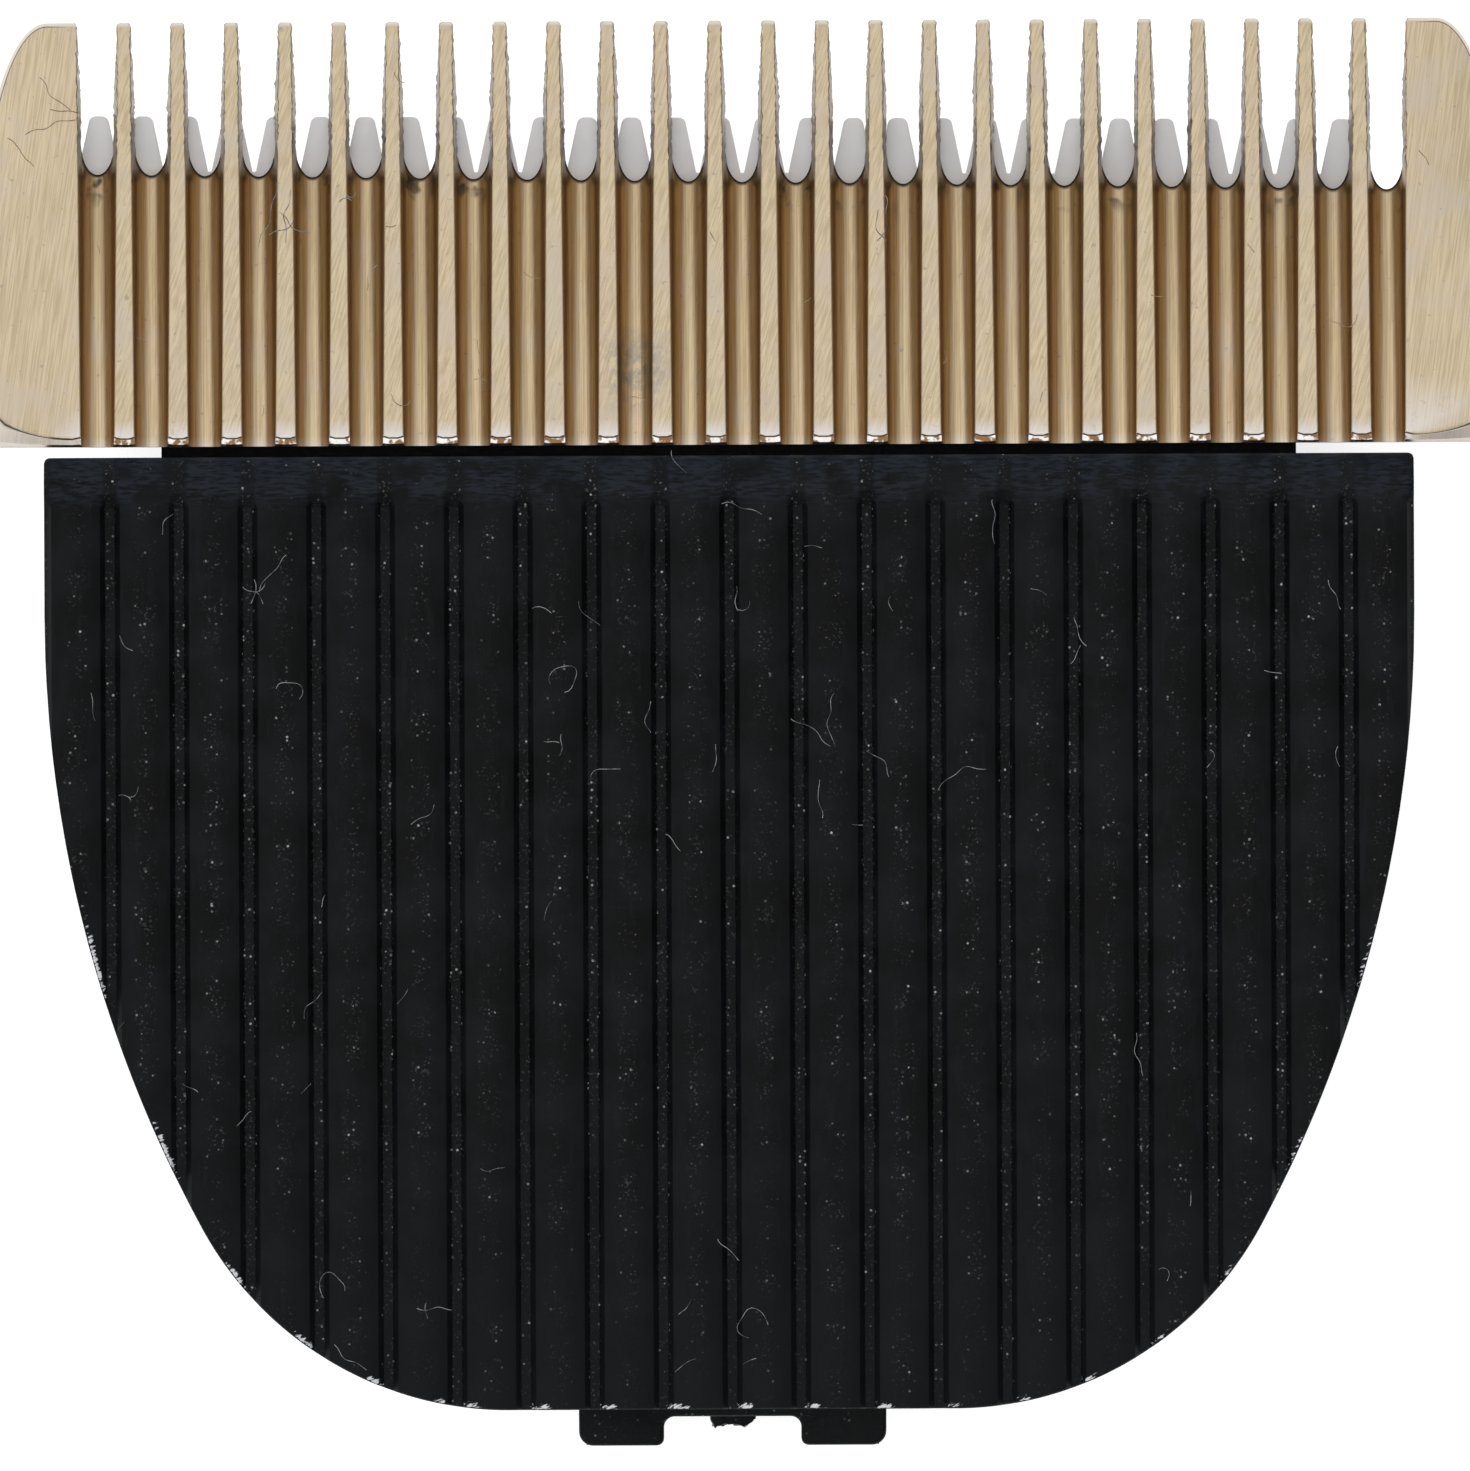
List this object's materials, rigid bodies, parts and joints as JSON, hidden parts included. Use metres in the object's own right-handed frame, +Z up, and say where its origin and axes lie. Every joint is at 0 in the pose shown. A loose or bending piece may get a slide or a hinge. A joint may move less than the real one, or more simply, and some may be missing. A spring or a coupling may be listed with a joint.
{
  "type": "hair clipper blade",
  "caption": "Detachable hair clipper head: gold-coated fluted steel comb over a sliding ceramic cutter, on a black ribbed plastic holder with a rear hook and a fork for the drive pin",
  "frame": {"origin": "under the middle of the head's box, on the plane of the holder's rear rim, on which it lies", "axes": "+X along the row of teeth, +Y towards the tooth tips, +Z up through the ribbed outer face"},
  "size_m": [0.0426, 0.0398, 0.01],
  "materials": {
    "holder_plastic": "satin",
    "gold_steel": "satin",
    "screw_steel": "satin",
    "white_ceramic": "satin",
    "yoke_plastic": "satin",
    "spring_steel": "polished"
  },
  "bodies": {
    "holder": {"blade_holder": "holder_plastic", "comb_blade": "gold_steel", "comb_screws": "screw_steel", "tension_spring": "spring_steel"},
    "cutter": {"cutter_blade": "white_ceramic", "drive_yoke": "yoke_plastic"}
  },
  "joints": [
    {"name": "cutter_slide", "type": "slide", "parent": "holder", "child": "cutter", "axis": [1, 0, 0], "range_m": [-0.0006, 0.0018]}
  ]
}
